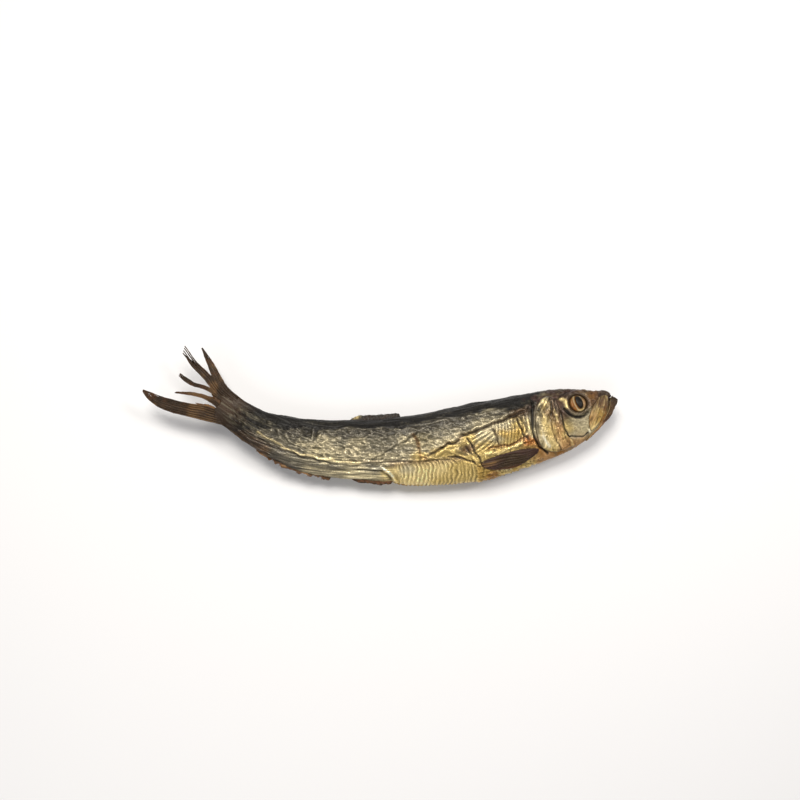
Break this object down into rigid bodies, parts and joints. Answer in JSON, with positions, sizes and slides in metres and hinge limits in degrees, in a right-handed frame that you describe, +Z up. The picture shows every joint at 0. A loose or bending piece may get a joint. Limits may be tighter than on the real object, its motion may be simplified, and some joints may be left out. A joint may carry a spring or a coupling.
{
  "type": "smoked fish",
  "caption": "Whole smoked herring lying on its left side, curved as it dried, with separate eyes, jaws, gill covers and ragged fins.",
  "frame": {"origin": "middle of the fish's own box, on the surface that it lies on", "axes": "+X from the tail towards the snout, +Y towards the back of the fish, +Z up, out of its right flank"},
  "size_m": [0.239, 0.07, 0.0188],
  "materials": {
    "skin": "dried smoked skin: near-black back, silver-grey wrinkled flank, golden shoulder and belly, with an oily gloss",
    "bone_plate": "thin glossy head plates, cream and gold with brown streaks",
    "jaw": "dark brown dried skin on the jaw, glossy",
    "eye": "dried glossy eye, orange-brown iris round a black pupil",
    "fin": "thin dried fins, dark brown rays with amber translucent membrane between them"
  },
  "bodies": {
    "root": {"body": "skin", "lower_jaw": "jaw", "dorsal_fin": "fin", "anal_fin": "fin", "tail_fin": "fin", "right_eye": "eye", "right_gill_cover": "bone_plate", "right_upper_jaw": "bone_plate", "right_pectoral_fin": "fin", "right_pelvic_fin": "fin", "left_eye": "eye", "left_gill_cover": "bone_plate", "left_upper_jaw": "bone_plate", "left_pectoral_fin": "fin", "left_pelvic_fin": "fin"}
  },
  "joints": []
}
